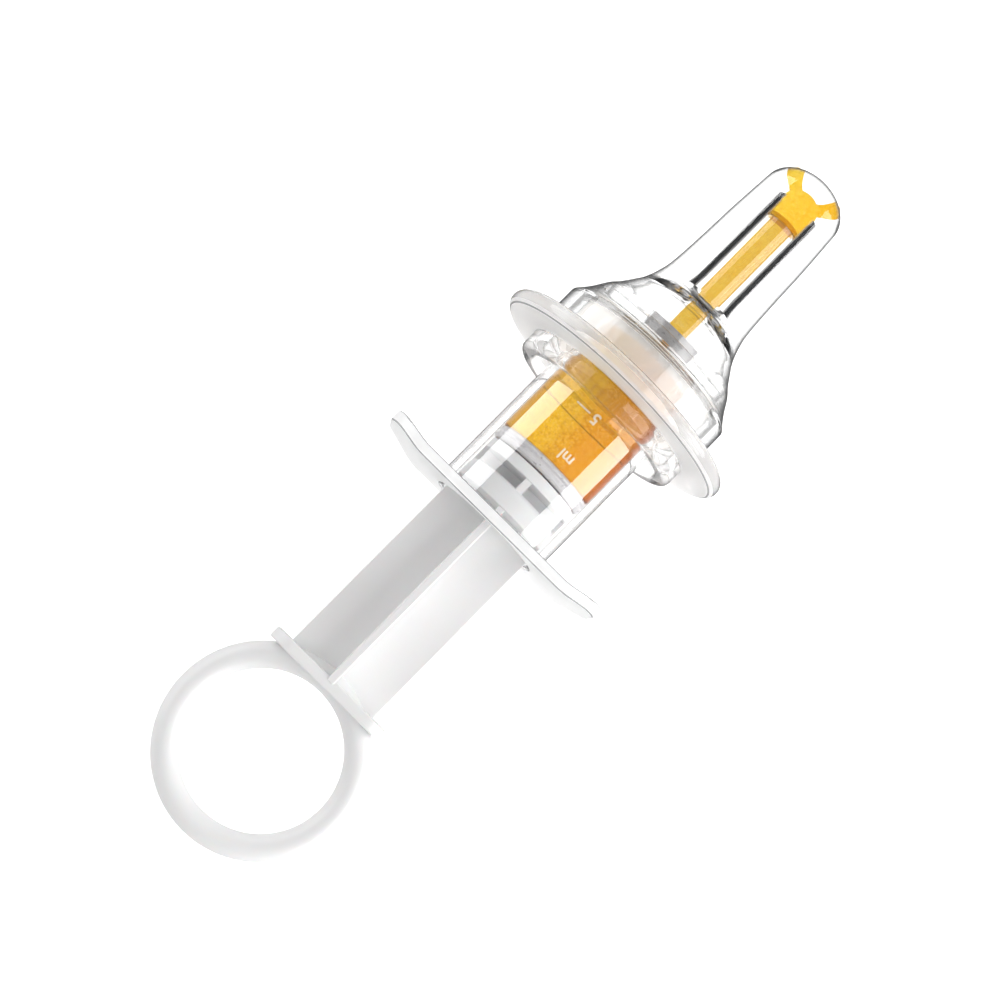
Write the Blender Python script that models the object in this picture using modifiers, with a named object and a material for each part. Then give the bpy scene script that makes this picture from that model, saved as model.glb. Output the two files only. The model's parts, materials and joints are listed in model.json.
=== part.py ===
"""Medicine dropper with a nipple, lying at rest on a table.

Seven mouldings: a barrel with a finger flange, a plunger with a finger ring, the seal on the
plunger's front, a mouth shield that pushes onto the barrel's head, a silicone nipple stretched over
the shield's hub, and inside the nipple a nozzle insert with its small seal.

Everything is modelled in the dropper's own frame, with Z along its axis towards the nipple and
Z = 0 at the back face of the finger flange. X runs along the flange's wings, and the finger ring
lies in the XZ plane. One empty carries that frame, and lays the dropper on the table.
"""

import math

import bmesh
import bpy
from mathutils import Matrix

MM = 0.001
MERGE = 0.01 * MM
GAP = 0.3 * MM  # between pieces that touch on the real object

# Round pieces: sides of a full turn
FINE_STEPS = 48
STEPS = 36
SMALL_STEPS = 24

# Barrel
BARREL_RADIUS = 11.3 * MM
BORE_RADIUS = 9.75 * MM
SHOULDER_START = 29.6 * MM
SHOULDER_END = 30.9 * MM
HEAD_RADIUS = 13.9 * MM
HEAD_TOP = 39.0 * MM
HEAD_CHAMFER = 0.35 * MM
END_WALL = 0.9 * MM
SPIGOT_RADIUS = 1.5 * MM
SPIGOT_BORE = 0.8 * MM
SPIGOT_TOP = 42.4 * MM
LEAD_IN_RADIUS = 10.45 * MM
LEAD_IN_DEPTH = 0.3 * MM

# Finger flange: two wings whose tips curl towards the nipple
WING_REACH = 23.05 * MM
WING_HALF_DEPTH = 12.0 * MM
WING_CORNER = 7.5 * MM
WING_THICKNESS = 2.0 * MM
WING_CURL = 1.3 * MM
WING_CURL_START = 15.0 * MM
WING_STATIONS = 16

# Plunger
RIB_THICKNESS = 1.3 * MM
ROD_HALF_WIDTH = 9.2 * MM
ROD_HALF_DEPTH = 8.7 * MM
PLATE_BACK = -37.1 * MM
PLATE_THICKNESS = 2.0 * MM
PLATE_HALF_WIDTH = 12.2 * MM
PLATE_HALF_DEPTH = 8.4 * MM
PLATE_CORNER = 4.0 * MM
RING_CENTRE = -51.35 * MM
RING_OUTER = 17.85 * MM
RING_INNER = 13.3 * MM
RING_HALF_DEPTH = 2.5 * MM
BACK_DISC = (3.3 * MM, 7.2 * MM)
BACK_DISC_RADIUS = 9.3 * MM
BACK_DISC_TOP_RADIUS = 7.9 * MM
FRONT_DISC = (9.5 * MM, 11.5 * MM)
FRONT_DISC_RADIUS = 9.2 * MM
SEAL_SPIGOT_RADIUS = 5.0 * MM
SEAL_SPIGOT_TOP = 12.9 * MM

# Seal on the plunger's front
SEAL_TOP = 14.2 * MM
SEAL_RADIUS = 9.6 * MM
SEAL_WAIST = 9.1 * MM
SEAL_LIP = 0.75 * MM

# Mouth shield: a round plate on a hub
SHIELD_RADIUS = 23.6 * MM
SHIELD_BACK = 29.3 * MM
SHIELD_FRONT = 32.5 * MM
HUB_RADIUS = 16.8 * MM
HUB_BACK = 25.65 * MM
HUB_ROUND = 1.1 * MM
HUB_BORE = 14.15 * MM
HUB_FRONT = 38.2 * MM
HUB_FRONT_RADIUS = 15.3 * MM

# Nipple: skirt, bell and teat
SKIRT_RADIUS = 17.35 * MM
SKIRT_BACK = SHIELD_FRONT + GAP
SKIRT_TOP = 38.6 * MM
SKIRT_BORE = HUB_FRONT_RADIUS + GAP
BELL_WALL = 1.3 * MM
TEAT_TIP = 81.7 * MM
DOME_START = 76.5 * MM
DOME_RADIUS = 7.61 * MM
TEAT_BORE = 3.5 * MM
TEAT_BORE_END = 78.7 * MM
TEAT_MOUTH = 50.9 * MM
CHANNEL_RADIUS = 1.05 * MM
CHANNEL_ANGLE = math.radians(47.0)
CHANNEL_ROOT = 75.5 * MM
CHANNEL_LENGTH = 12.0 * MM

# Outside of the bell and teat, as (radius, station)
BELL_OUTLINE = [
    (16.5 * MM, 39.6 * MM),
    (15.4 * MM, 41.15 * MM),
    (14.05 * MM, 43.4 * MM),
    (12.8 * MM, 44.9 * MM),
    (11.4 * MM, 46.95 * MM),
    (10.4 * MM, 48.6 * MM),
    (9.5 * MM, 51.0 * MM),
    (8.85 * MM, 54.0 * MM),
    (8.45 * MM, 60.0 * MM),
    (8.15 * MM, 68.0 * MM),
    (7.75 * MM, 74.5 * MM),
]

# Nozzle insert and its seal
NOZZLE_FLANGE_RADIUS = 12.4 * MM
NOZZLE_BACK = HEAD_TOP + GAP
NOZZLE_FLANGE_TOP = 41.8 * MM
NOZZLE_HUB_RADIUS = 6.3 * MM
NOZZLE_HUB_TOP = 44.9 * MM
BOSS_RADIUS = 5.05 * MM
BOSS_TOP = 50.3 * MM
TUBE_RADIUS = 2.4 * MM
TUBE_BORE = 1.45 * MM
TUBE_TOP = 71.8 * MM
POCKET_RADIUS = 5.2 * MM
POCKET_TOP = 44.6 * MM
GROMMET_RADIUS = POCKET_RADIUS - GAP
GROMMET_BACK = 40.0 * MM
GROMMET_TOP = POCKET_TOP - GAP
GROMMET_BORE = SPIGOT_RADIUS + GAP
GROMMET_MOUTH = 3.2 * MM
GROMMET_MOUTH_START = 42.9 * MM


def clear_scene():
    for thing in list(bpy.data.objects):
        bpy.data.objects.remove(thing, do_unlink=True)


def collection(name):
    group = bpy.data.collections.new(name)
    bpy.context.scene.collection.children.link(group)
    return group


def finish(name, colour, roughness, transmission=0.0, ior=1.5):
    material = bpy.data.materials.new(name)
    material.use_nodes = True
    shader = material.node_tree.nodes["Principled BSDF"]
    shader.inputs["Base Color"].default_value = (*colour, 1.0)
    shader.inputs["Roughness"].default_value = roughness
    shader.inputs["Metallic"].default_value = 0.0
    shader.inputs["Transmission Weight"].default_value = transmission
    shader.inputs["IOR"].default_value = ior
    return material


def arc(centre_radius, centre_station, size, start, stop, count):
    """Points (radius, station) on a circular arc, with angles in degrees from the radius axis."""
    points = []
    for step in range(count + 1):
        angle = math.radians(start + (stop - start) * step / count)
        radius = centre_radius + size * math.cos(angle)
        points.append((radius, centre_station + size * math.sin(angle)))
    return points


def place(thing, group, frame, material=None):
    group.objects.link(thing)
    thing.parent = frame
    if material:
        thing.data.materials.append(material)
    return thing


def turned(name, outline, steps):
    """Object turned about Z. The outline goes down the outside, then back up the bore."""
    mesh = bpy.data.meshes.new(name)
    points = [(radius, 0.0, station) for radius, station in outline]
    edges = [(index, index + 1) for index in range(len(points) - 1)]
    on_axis = outline[0][0] == 0.0 and outline[-1][0] == 0.0
    if not on_axis:
        edges.append((len(points) - 1, 0))
    mesh.from_pydata(points, edges, [])
    thing = bpy.data.objects.new(name, mesh)
    screw = thing.modifiers.new("turn", "SCREW")
    screw.axis = "Z"
    screw.steps = steps
    screw.render_steps = steps
    screw.use_merge_vertices = True
    screw.merge_threshold = MERGE
    screw.use_smooth_shade = True
    return thing


def flat_solid(name, outlines, bottom, top):
    """Object cut from a plate: closed outlines in XY, the later ones being holes in the first."""
    curve = bpy.data.curves.new(name, "CURVE")
    curve.dimensions = "2D"
    curve.fill_mode = "BOTH"
    curve.extrude = (top - bottom) / 2
    for outline in outlines:
        spline = curve.splines.new("POLY")
        spline.points.add(len(outline) - 1)
        for point, (x, y) in zip(spline.points, outline):
            point.co = (x, y, 0.0, 1.0)
        spline.use_cyclic_u = True
    source = bpy.data.objects.new(name + "_outline", curve)
    bpy.context.scene.collection.objects.link(source)
    bpy.context.view_layer.update()
    evaluated = source.evaluated_get(bpy.context.evaluated_depsgraph_get())
    mesh = bpy.data.meshes.new_from_object(evaluated)
    bpy.data.objects.remove(source, do_unlink=True)
    weld(mesh)
    mesh.transform(Matrix.Translation((0, 0, (top + bottom) / 2)))
    mesh.name = name
    return bpy.data.objects.new(name, mesh)


def weld(mesh):
    edit = bmesh.new()
    edit.from_mesh(mesh)
    bmesh.ops.remove_doubles(edit, verts=edit.verts, dist=MERGE)
    bmesh.ops.recalc_face_normals(edit, faces=edit.faces)
    edit.to_mesh(mesh)
    edit.free()


def rounded_rectangle(half_x, half_y, corner, count=6):
    points = []
    for quarter, (side_x, side_y) in enumerate(((1, 1), (-1, 1), (-1, -1), (1, -1))):
        for step in range(count + 1):
            angle = math.radians(90 * quarter + 90 * step / count)
            x = side_x * (half_x - corner) + corner * math.cos(angle)
            y = side_y * (half_y - corner) + corner * math.sin(angle)
            points.append((x, y))
    return points


def plus_outline(half_x, half_y, rib):
    half = rib / 2
    quarter = [(half_x, half), (half, half), (half, half_y)]
    points = list(quarter)
    points += [(-x, y) for x, y in reversed(quarter)]
    points += [(-x, -y) for x, y in quarter]
    points += [(x, -y) for x, y in reversed(quarter)]
    return points


def circle(radius, steps):
    return [
        (radius * math.cos(math.tau * step / steps), radius * math.sin(math.tau * step / steps))
        for step in range(steps)
    ]


def combine(base, tool, operation):
    """Boolean of a helper shape into a part. The helper stays out of the finished model."""
    tool.hide_render = True
    tool.display_type = "WIRE"
    modifier = base.modifiers.new(tool.name, "BOOLEAN")
    modifier.operation = operation
    modifier.object = tool


def wing_lift(x):
    share = (abs(x) - WING_CURL_START) / (WING_REACH - WING_CURL_START)
    share = min(max(share, 0.0), 1.0)
    return WING_CURL * share * share * (3 - 2 * share)


def wing_section():
    """Side view of the flange, as (x, station): flat in the middle, with curled tips."""
    reach = WING_REACH + GAP
    stations = [reach * (2 * step / WING_STATIONS - 1) for step in range(WING_STATIONS + 1)]
    top = [(x, WING_THICKNESS + wing_lift(x)) for x in stations]
    bottom = [(x, wing_lift(x)) for x in reversed(stations)]
    return top + bottom


def make_flange():
    plate = flat_solid(
        "flange_section",
        [wing_section()],
        -WING_HALF_DEPTH - GAP,
        WING_HALF_DEPTH + GAP,
    )
    plate.data.transform(Matrix.Rotation(math.pi / 2, 4, "X"))
    plan = flat_solid(
        "flange_plan",
        [
            rounded_rectangle(WING_REACH, WING_HALF_DEPTH, WING_CORNER),
            circle(LEAD_IN_RADIUS, FINE_STEPS),
        ],
        -2 * WING_THICKNESS,
        3 * WING_THICKNESS,
    )
    return plate, plan


def barrel_outline():
    bore_top = HEAD_TOP - END_WALL
    return [
        (SPIGOT_BORE, SPIGOT_TOP),
        (SPIGOT_RADIUS, SPIGOT_TOP),
        (SPIGOT_RADIUS, HEAD_TOP),
        (HEAD_RADIUS - HEAD_CHAMFER, HEAD_TOP),
        (HEAD_RADIUS, HEAD_TOP - HEAD_CHAMFER),
        (HEAD_RADIUS, SHOULDER_END),
        (BARREL_RADIUS, SHOULDER_START),
        (BARREL_RADIUS, LEAD_IN_DEPTH),
        (BORE_RADIUS, LEAD_IN_DEPTH),
        (BORE_RADIUS, bore_top),
        (SPIGOT_BORE, bore_top),
    ]


def make_barrel(parts, tools, frame):
    barrel = place(
        turned("barrel", barrel_outline(), FINE_STEPS),
        parts,
        frame,
        finish("clear_barrel", (0.93, 0.95, 0.95), 0.08, 1.0),
    )
    plate, plan = make_flange()
    place(plate, tools, frame)
    place(plan, tools, frame)
    combine(plate, plan, "INTERSECT")
    combine(barrel, plate, "UNION")
    return barrel


def back_disc_outline():
    bottom, top = BACK_DISC
    rim = BACK_DISC_RADIUS - BACK_DISC_TOP_RADIUS
    shoulder = arc(BACK_DISC_TOP_RADIUS, top - rim, rim, 90, 0, 4)
    return [(0.0, top), *shoulder, (BACK_DISC_RADIUS, bottom), (0.0, bottom)]


def front_disc_outline():
    bottom, top = FRONT_DISC
    return [
        (0.0, SEAL_SPIGOT_TOP),
        (SEAL_SPIGOT_RADIUS, SEAL_SPIGOT_TOP),
        (SEAL_SPIGOT_RADIUS, top),
        (FRONT_DISC_RADIUS, top),
        (FRONT_DISC_RADIUS, bottom),
        (0.0, bottom),
    ]


def finger_ring():
    tube = (RING_OUTER - RING_INNER) / 2
    bpy.ops.mesh.primitive_torus_add(
        major_segments=40,
        minor_segments=12,
        major_radius=RING_INNER + tube,
        minor_radius=tube,
    )
    ring = bpy.context.object
    for group in list(ring.users_collection):
        group.objects.unlink(ring)
    ring.name = "finger_ring"
    ring.data.transform(Matrix.Diagonal((1, 1, RING_HALF_DEPTH / tube, 1)))
    ring.data.transform(Matrix.Rotation(math.pi / 2, 4, "X"))
    ring.data.transform(Matrix.Translation((0, 0, RING_CENTRE)))
    return ring


def make_plunger(parts, tools, frame):
    overlap = RIB_THICKNESS / 2
    plate_top = PLATE_BACK + PLATE_THICKNESS
    rod = plus_outline(ROD_HALF_WIDTH, ROD_HALF_DEPTH, RIB_THICKNESS)
    plunger = place(
        flat_solid("plunger", [rod], plate_top - overlap, FRONT_DISC[0] + overlap),
        parts,
        frame,
        finish("white_plastic", (0.88, 0.88, 0.87), 0.3),
    )
    plate = flat_solid(
        "end_plate",
        [rounded_rectangle(PLATE_HALF_WIDTH, PLATE_HALF_DEPTH, PLATE_CORNER)],
        PLATE_BACK,
        plate_top,
    )
    joined = [
        plate,
        finger_ring(),
        turned("back_disc", back_disc_outline(), STEPS),
        turned("front_disc", front_disc_outline(), STEPS),
    ]
    for shape in joined:
        place(shape, tools, frame)
        combine(plunger, shape, "UNION")
    return plunger


def make_piston_seal(parts, frame):
    back = FRONT_DISC[1] + GAP
    pocket_top = SEAL_SPIGOT_TOP + GAP
    pocket = SEAL_SPIGOT_RADIUS + GAP
    middle = (SEAL_TOP + back) / 2
    outline = [
        (0.0, SEAL_TOP),
        (SEAL_WAIST, SEAL_TOP),
        (SEAL_RADIUS, SEAL_TOP - SEAL_LIP / 2),
        (SEAL_RADIUS, SEAL_TOP - SEAL_LIP),
        (SEAL_WAIST, middle),
        (SEAL_RADIUS, back + SEAL_LIP),
        (SEAL_RADIUS, back + SEAL_LIP / 2),
        (SEAL_WAIST, back),
        (pocket, back),
        (pocket, pocket_top),
        (0.0, pocket_top),
    ]
    silicone = finish("grey_silicone", (0.62, 0.63, 0.64), 0.35, 0.5, 1.41)
    return place(turned("piston_seal", outline, STEPS), parts, frame, silicone)


def make_mouth_shield(parts, frame):
    edge = (SHIELD_FRONT - SHIELD_BACK) / 2
    middle = SHIELD_BACK + edge
    rim = arc(SHIELD_RADIUS - edge, middle, edge, 90, -90, 8)
    hub_edge = arc(HUB_RADIUS - HUB_ROUND, HUB_BACK + HUB_ROUND, HUB_ROUND, 0, -90, 3)
    outline = [
        (HUB_BORE, HUB_FRONT),
        (HUB_FRONT_RADIUS, HUB_FRONT),
        (HUB_FRONT_RADIUS, SHIELD_FRONT),
        *rim,
        (HUB_RADIUS, SHIELD_BACK),
        *hub_edge,
        (HUB_BORE, HUB_BACK),
    ]
    clear = finish("clear_shield", (0.94, 0.95, 0.96), 0.05, 1.0)
    return place(turned("mouth_shield", outline, FINE_STEPS), parts, frame, clear)


def dome_outline(count):
    """Rounded end of the teat, from its tip to the widest point."""
    height = TEAT_TIP - DOME_START
    points = []
    for step in range(count + 1):
        angle = math.radians(90 - 90 * step / count)
        points.append((DOME_RADIUS * math.cos(angle), DOME_START + height * math.sin(angle)))
    points[0] = (0.0, TEAT_TIP)
    return points


def nipple_outline():
    outside = dome_outline(7) + list(reversed(BELL_OUTLINE))
    skirt = [
        (SKIRT_RADIUS, SKIRT_TOP),
        (SKIRT_RADIUS, SKIRT_BACK),
        (SKIRT_BORE, SKIRT_BACK),
        (SKIRT_BORE, HUB_FRONT + GAP),
        (HUB_BORE, HUB_FRONT + GAP),
        (HUB_BORE, HEAD_TOP + GAP),
        (NOZZLE_FLANGE_RADIUS + GAP, HEAD_TOP + GAP),
    ]
    bell_inside = [
        (radius - BELL_WALL, station - BELL_WALL / 3)
        for radius, station in BELL_OUTLINE[2:6]
    ]
    bore = [
        (TEAT_BORE + BELL_WALL, TEAT_MOUTH),
        (TEAT_BORE, TEAT_MOUTH + BELL_WALL),
        *arc(0.0, TEAT_BORE_END - TEAT_BORE, TEAT_BORE, 0, 90, 5),
    ]
    bore[-1] = (0.0, TEAT_BORE_END)
    return outside + skirt + bell_inside + bore


def make_nipple(parts, tools, frame):
    clear = finish("clear_silicone", (0.95, 0.95, 0.95), 0.12, 1.0, 1.41)
    nipple = place(turned("nipple", nipple_outline(), STEPS), parts, frame, clear)
    for side, name in ((-1, "left_channel"), (1, "right_channel")):
        bpy.ops.mesh.primitive_cylinder_add(
            vertices=12, radius=CHANNEL_RADIUS, depth=CHANNEL_LENGTH
        )
        channel = bpy.context.object
        for group in list(channel.users_collection):
            group.objects.unlink(channel)
        channel.name = name
        channel.data.transform(Matrix.Translation((0, 0, CHANNEL_LENGTH / 2)))
        channel.data.transform(Matrix.Rotation(side * CHANNEL_ANGLE, 4, "Y"))
        channel.data.transform(Matrix.Translation((0, 0, CHANNEL_ROOT)))
        place(channel, tools, frame)
        combine(nipple, channel, "DIFFERENCE")
    return nipple


def make_nozzle_insert(parts, frame):
    outline = [
        (TUBE_BORE, TUBE_TOP),
        (TUBE_RADIUS, TUBE_TOP),
        (TUBE_RADIUS, BOSS_TOP),
        (BOSS_RADIUS - HEAD_CHAMFER, BOSS_TOP),
        (BOSS_RADIUS, BOSS_TOP - HEAD_CHAMFER),
        (BOSS_RADIUS, NOZZLE_HUB_TOP),
        (NOZZLE_HUB_RADIUS, NOZZLE_HUB_TOP),
        (NOZZLE_HUB_RADIUS, NOZZLE_FLANGE_TOP),
        (NOZZLE_FLANGE_RADIUS, NOZZLE_FLANGE_TOP),
        (NOZZLE_FLANGE_RADIUS, NOZZLE_BACK),
        (POCKET_RADIUS, NOZZLE_BACK),
        (POCKET_RADIUS, POCKET_TOP),
        (TUBE_BORE, POCKET_TOP),
    ]
    clear = finish("clear_nozzle", (0.93, 0.95, 0.95), 0.06, 1.0)
    return place(turned("nozzle_insert", outline, SMALL_STEPS), parts, frame, clear)


def make_nozzle_seal(parts, frame):
    outline = [
        (GROMMET_MOUTH, GROMMET_TOP),
        (GROMMET_RADIUS, GROMMET_TOP),
        (GROMMET_RADIUS, GROMMET_BACK),
        (GROMMET_BORE, GROMMET_BACK),
        (GROMMET_BORE, GROMMET_MOUTH_START),
    ]
    silicone = finish("grommet_silicone", (0.55, 0.56, 0.58), 0.4, 0.4, 1.41)
    return place(turned("nozzle_seal", outline, SMALL_STEPS), parts, frame, silicone)


def resting_tilt():
    """Slope of the axis when the shield's rim and the ring's far end touch the table."""
    edge = (SHIELD_FRONT - SHIELD_BACK) / 2
    ring_end = RING_CENTRE - (RING_OUTER + RING_INNER) / 2
    reach = SHIELD_BACK + edge - ring_end
    drop = SHIELD_RADIUS - edge
    between = math.hypot(reach, drop)
    return math.atan2(drop, reach) + math.asin((edge - RING_HALF_DEPTH) / between)


def lay_on_table(frame, pieces):
    """Tilts the frame to rest, and moves it so that the box's bottom centre is the origin."""
    tilt = resting_tilt()
    side = (0.0, 1.0, 0.0)
    up = (-math.sin(tilt), 0.0, math.cos(tilt))
    along = (math.cos(tilt), 0.0, math.sin(tilt))
    turn = Matrix((side, up, along)).transposed().to_4x4()
    frame.matrix_world = turn
    bpy.context.view_layer.update()
    graph = bpy.context.evaluated_depsgraph_get()
    corners = []
    for piece in pieces:
        shape = piece.evaluated_get(graph)
        corners += [shape.matrix_world @ vertex.co for vertex in shape.data.vertices]
    low = [min(corner[axis] for corner in corners) for axis in range(3)]
    high = [max(corner[axis] for corner in corners) for axis in range(3)]
    shift = (-(low[0] + high[0]) / 2, -(low[1] + high[1]) / 2, -low[2])
    frame.matrix_world = Matrix.Translation(shift) @ turn
    bpy.context.view_layer.update()


def build():
    clear_scene()
    parts = collection("medicine_dropper")
    tools = collection("shaping_tools")
    frame = bpy.data.objects.new("dropper_axis", None)
    parts.objects.link(frame)
    pieces = [
        make_barrel(parts, tools, frame),
        make_plunger(parts, tools, frame),
        make_piston_seal(parts, frame),
        make_mouth_shield(parts, frame),
        make_nipple(parts, tools, frame),
        make_nozzle_insert(parts, frame),
        make_nozzle_seal(parts, frame),
    ]
    lay_on_table(frame, pieces)


build()
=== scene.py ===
"""Looks of the medicine dropper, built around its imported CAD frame.

Every piece is shaped in the dropper's own frame: Z along its axis towards the nipple, with Z = 0 at
the back face of the finger flange, X along the flange's wings, and the finger ring in the XZ plane.
PLACE carries that frame into the row's frame. Lengths are in metres, through MM.
"""

import json
import math

import bmesh
import bpy
from mathutils import Matrix, Vector


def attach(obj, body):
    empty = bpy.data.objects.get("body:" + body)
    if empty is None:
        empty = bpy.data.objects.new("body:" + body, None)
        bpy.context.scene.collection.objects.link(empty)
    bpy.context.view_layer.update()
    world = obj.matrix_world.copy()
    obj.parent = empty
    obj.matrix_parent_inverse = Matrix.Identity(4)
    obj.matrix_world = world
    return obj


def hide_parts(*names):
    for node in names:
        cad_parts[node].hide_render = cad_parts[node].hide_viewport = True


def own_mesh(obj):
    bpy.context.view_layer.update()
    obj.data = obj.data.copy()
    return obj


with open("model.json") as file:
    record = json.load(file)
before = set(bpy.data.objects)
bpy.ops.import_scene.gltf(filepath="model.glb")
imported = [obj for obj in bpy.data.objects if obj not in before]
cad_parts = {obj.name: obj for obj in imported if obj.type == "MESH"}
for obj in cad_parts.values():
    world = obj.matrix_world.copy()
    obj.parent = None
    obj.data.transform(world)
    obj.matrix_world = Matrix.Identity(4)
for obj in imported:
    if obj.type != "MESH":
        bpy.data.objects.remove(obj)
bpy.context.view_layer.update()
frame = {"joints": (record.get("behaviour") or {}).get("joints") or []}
spin = next(joint for joint in frame["joints"] if joint["name"] == "plunger_turn")
AXIS = Vector(spin["axis"]).normalized()
SIDE = Vector((0, 1, 0))
UP = AXIS.cross(SIDE)
PLACE = Matrix.Translation(spin["pos_m"]) @ Matrix((SIDE, UP, AXIS)).transposed().to_4x4()

MM = 0.001
TURNS = 192  # sides of a large round piece
SMALL_TURNS = 96

# Barrel and its finger flange
BARREL_RADIUS = 11.3 * MM
BORE_RADIUS = 9.75 * MM
SHOULDER_START = 29.6 * MM
SHOULDER_END = 30.9 * MM
HEAD_RADIUS = 13.9 * MM
HEAD_TOP = 39.0 * MM
BORE_TOP = 38.1 * MM
SPIGOT_RADIUS = 1.5 * MM
SPIGOT_BORE = 0.8 * MM
SPIGOT_TOP = 42.4 * MM
LEAD_IN_RADIUS = 10.45 * MM
LEAD_IN_DEPTH = 0.3 * MM
WING_REACH = 23.05 * MM
WING_HALF_DEPTH = 12.0 * MM
WING_CORNER = 7.5 * MM
WING_THICKNESS = 2.0 * MM
WING_CURL = 1.3 * MM
WING_CURL_START = 15.0 * MM
WING_EDGE = 0.3 * MM

# Plunger
RIB_THICKNESS = 1.3 * MM
ROD_HALF_WIDTH = 9.2 * MM
ROD_HALF_DEPTH = 8.7 * MM
PLATE_BACK = -37.1 * MM
PLATE_THICKNESS = 2.0 * MM
PLATE_HALF_WIDTH = 12.2 * MM
PLATE_HALF_DEPTH = 8.4 * MM
PLATE_CORNER = 4.0 * MM
RING_CENTRE = -51.35 * MM
RING_OUTER = 17.85 * MM
RING_INNER = 13.3 * MM
RING_HALF_DEPTH = 2.5 * MM
BACK_DISC = (3.3 * MM, 7.2 * MM)
BACK_DISC_RADIUS = 9.3 * MM
FRONT_DISC = (9.5 * MM, 11.5 * MM)
FRONT_DISC_RADIUS = 9.2 * MM
SEAL_SPIGOT_RADIUS = 5.0 * MM
SEAL_SPIGOT_TOP = 12.9 * MM

# Seal on the plunger's front
SEAL_BACK = 11.8 * MM
SEAL_TOP = 14.2 * MM
SEAL_RADIUS = 9.6 * MM
SEAL_WAIST = 9.15 * MM
SEAL_POCKET = (5.3 * MM, 13.2 * MM)

# Mouth shield
SHIELD_RADIUS = 23.6 * MM
SHIELD_BACK = 29.3 * MM
SHIELD_FRONT = 32.5 * MM
HUB_RADIUS = 16.8 * MM
HUB_BACK = 25.65 * MM
HUB_BORE = 14.15 * MM
HUB_FRONT = 38.2 * MM
HUB_FRONT_RADIUS = 15.3 * MM

# Nipple
SKIRT_RADIUS = 17.35 * MM
SKIRT_BACK = 32.8 * MM
SKIRT_TOP = 38.6 * MM
SKIRT_BORE = 15.6 * MM
SKIRT_LEDGE = 38.5 * MM
HEAD_LEDGE = 39.3 * MM
FLANGE_SEAT = 12.7 * MM
BELL_WALL = 1.3 * MM
TEAT_TIP = 81.7 * MM
DOME_START = 76.5 * MM
DOME_RADIUS = 7.61 * MM
TEAT_BORE = 3.5 * MM
TEAT_BORE_END = 78.7 * MM
TEAT_MOUTH = 50.9 * MM
CHANNEL_RADIUS = 1.05 * MM
CHANNEL_ANGLE = math.radians(47.0)
CHANNEL_ROOT = 75.5 * MM
CHANNEL_LENGTH = 12.0 * MM
BELL_OUTLINE = [
    (16.5 * MM, 39.6 * MM),
    (15.4 * MM, 41.15 * MM),
    (14.05 * MM, 43.4 * MM),
    (12.8 * MM, 44.9 * MM),
    (11.4 * MM, 46.95 * MM),
    (10.4 * MM, 48.6 * MM),
    (9.5 * MM, 51.0 * MM),
    (8.85 * MM, 54.0 * MM),
    (8.45 * MM, 60.0 * MM),
    (8.15 * MM, 68.0 * MM),
    (7.75 * MM, 74.5 * MM),
]

# Nozzle insert and its seal
NOZZLE_FLANGE_RADIUS = 12.4 * MM
NOZZLE_BACK = 39.3 * MM
NOZZLE_FLANGE_TOP = 41.8 * MM
NOZZLE_HUB_RADIUS = 6.3 * MM
NOZZLE_HUB_TOP = 44.9 * MM
BOSS_RADIUS = 5.05 * MM
BOSS_TOP = 50.3 * MM
TUBE_RADIUS = 2.4 * MM
TUBE_BORE = 1.45 * MM
TUBE_TOP = 71.8 * MM
POCKET_RADIUS = 5.2 * MM
POCKET_TOP = 44.6 * MM
GROMMET_RADIUS = 4.9 * MM
GROMMET_BACK = 40.0 * MM
GROMMET_TOP = 44.3 * MM
GROMMET_BORE = 1.8 * MM
GROMMET_MOUTH = 3.2 * MM
GROMMET_MOUTH_START = 42.9 * MM

# Liquid
FILM = 0.2 * MM  # air left between the liquid and a wall
FRONT_FILM = 0.05 * MM  # the same at the bore's end wall, which the piston nearly touches
BULB_RADIUS = 2.8 * MM
BULB_TOP = 78.4 * MM
BULB_BACK = 71.2 * MM

# Scale mark
DIGIT_HEIGHT = 2.7 * MM
DIGIT_STATION = 23.9 * MM
UNIT_STATION = 16.1 * MM
MARK_RELIEF = 0.12 * MM

# Clear mouldings. Their outlines get painted shade, darkening between two facings, from 0 face on to 1
# edge on.
OUTLINE = (0.65, 0.95)
SILICONE_OUTLINE = (0.56, 0.88)
BORE_OUTLINE = (0.26, 0.4)
# painted shade: the dark colour of the clear mouldings' outlines
PAINTED_OUTLINE_SHADE = (0.04, 0.04, 0.042)
CLEAR_TINT = (0.985, 0.987, 0.988)
GLOSS_IOR = 1.6
GLOSS_ROUGHNESS = 0.02
RIM_NARROW = 1.6 * MM  # width of the shield's rounded rim

# Painted glow: emission on the dull surfaces, standing in for light from below scattered up through them
HEAD_PAINTED_GLOW = 0.2
HEAD_PAINTED_GLOW_TINT = (1.0, 0.93, 0.82, 1.0)
FLANGE_PAINTED_GLOW = 0.08
SHIELD_PAINTED_GLOW = 0.02
WHITE = (1.0, 1.0, 1.0, 1.0)

# Liquid colours: left, right, left rim, right rim. The change from left to right and the darker rims are
# painted shade.
DOSE_COLOURS = ((0.86, 0.53, 0.02), (0.78, 0.32, 0.004), (0.68, 0.38, 0.03), (0.5, 0.12, 0.001))
THIN_COLOURS = ((0.92, 0.65, 0.06), (0.9, 0.52, 0.02), (0.8, 0.5, 0.05), (0.8, 0.34, 0.01))
SPECK_COLOUR = (0.97, 0.72, 0.16)
RIM_SHADE_STARTS = 7.0 * MM
RIM_SHADE_FULL = 8.6 * MM

# Camera: the ring end is a little nearer than the nipple
CAMERA_DISTANCE = 0.330
CAMERA_LENS = 72.0
CAMERA_SENSOR = 36.0
AXIS_TILT = math.radians(6.5)
AXIS_ROLL = math.radians(45.25)
AIM_STATION = 5.0 * MM
AIM_OFFSET = 0.825 * MM

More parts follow.
